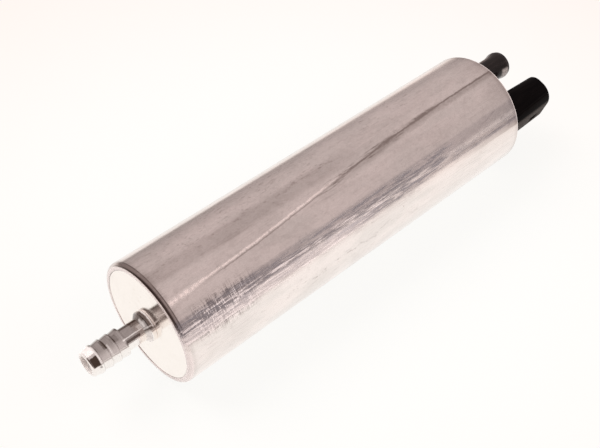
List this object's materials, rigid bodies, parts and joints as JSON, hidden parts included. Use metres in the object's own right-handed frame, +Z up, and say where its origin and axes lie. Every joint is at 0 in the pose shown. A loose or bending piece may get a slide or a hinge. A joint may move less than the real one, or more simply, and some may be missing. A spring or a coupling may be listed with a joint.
{
  "type": "inline fuel pump",
  "caption": "Electric in-line fuel pump: rolled aluminium can, barbed metal inlet nipple, black outlet end with hose stub and plug socket, rotor stage and brush motor inside.",
  "frame": {"origin": "on the can's axis, at the middle of the can's length", "axes": "+X along the can's axis towards the outlet end with the plug and hose stub, +Z up as the pump lies in the picture, +Y on the hose stub's side"},
  "size_m": [0.2024, 0.043, 0.043],
  "materials": {
    "can_aluminium": "drawn, scuffed and dull",
    "cover_aluminium": "turned, satin",
    "nipple_steel": "turned, bright",
    "black_plastic": "moulded, slight sheen",
    "seal_rubber": "smooth",
    "bearing_steel": "ground",
    "spring_steel": "drawn",
    "stage_steel": "ground",
    "sintered_iron": "sintered, ground ends",
    "bronze": "sintered",
    "yoke_steel": "rolled",
    "ferrite": "ground, dull",
    "enamelled_copper": "enamelled",
    "bare_copper": "turned",
    "moulded_resin": "moulded",
    "holder_plastic": "moulded, glass filled",
    "carbon": "pressed",
    "tinned_brass": "tinned",
    "valve_plastic": "moulded"
  },
  "bodies": {
    "pump_body": {"can": "can_aluminium", "inlet_cover": "cover_aluminium", "inlet_nipple": "nipple_steel", "outlet_cover": "black_plastic", "inlet_seal": "seal_rubber", "outlet_seal": "seal_rubber", "relief_spring": "spring_steel", "port_plate": "stage_steel", "pump_ring": "stage_steel", "outlet_plate": "stage_steel", "front_bush": "bronze", "flux_ring": "yoke_steel", "left_magnet": "ferrite", "right_magnet": "ferrite", "magnet_clips": "spring_steel", "rear_bush": "bronze", "brush_holder": "holder_plastic", "upper_brush_spring": "spring_steel", "lower_brush_spring": "spring_steel", "choke_cores": "ferrite", "choke_coils": "enamelled_copper", "contact_blades": "tinned_brass", "valve_spring": "spring_steel", "valve_guide": "valve_plastic"},
    "armature": {"motor_shaft": "bearing_steel", "armature_core": "yoke_steel", "armature_winding": "enamelled_copper", "commutator_hub": "moulded_resin", "commutator_bars": "bare_copper", "thrust_washers": "bronze", "inner_rotor": "sintered_iron"},
    "ring_rotor": {"outer_rotor": "sintered_iron"},
    "check_valve": {"valve_poppet": "valve_plastic", "valve_seal": "seal_rubber"},
    "relief_valve": {"relief_plunger": "bearing_steel"},
    "brush_above": {"upper_brush": "carbon"},
    "brush_below": {"lower_brush": "carbon"}
  },
  "joints": [
    {"name": "armature_spin", "type": "hinge", "parent": "pump_body", "child": "armature", "pos_m": [0, 0, 0], "axis": [1, 0, 0], "continuous": true},
    {"name": "outer_rotor_spin", "type": "hinge", "parent": "pump_body", "child": "ring_rotor", "pos_m": [-0.058, 0, 0.0012], "axis": [1, 0, 0], "continuous": true},
    {"name": "check_valve_lift", "type": "slide", "parent": "pump_body", "child": "check_valve", "axis": [1, 0, 0], "range_m": [0, 0.002], "stiffness_N_per_m": 200, "springref_m": -0.003, "deforming": ["valve_spring"]},
    {"name": "relief_valve_lift", "type": "slide", "parent": "pump_body", "child": "relief_valve", "axis": [-1, 0, 0], "range_m": [0, 0.0012], "stiffness_N_per_m": 1500, "springref_m": -0.001, "deforming": ["relief_spring"]},
    {"name": "upper_brush_travel", "type": "slide", "parent": "pump_body", "child": "brush_above", "axis": [0, 0, 1], "range_m": [0, 0.0015], "stiffness_N_per_m": 200, "springref_m": -0.006, "deforming": ["upper_brush_spring"]},
    {"name": "lower_brush_travel", "type": "slide", "parent": "pump_body", "child": "brush_below", "axis": [0, 0, -1], "range_m": [0, 0.0015], "stiffness_N_per_m": 200, "springref_m": -0.006, "deforming": ["lower_brush_spring"]}
  ],
  "couplings": [
    {"joint": "outer_rotor_spin", "follows": "armature_spin", "ratio": 0.85714}
  ]
}
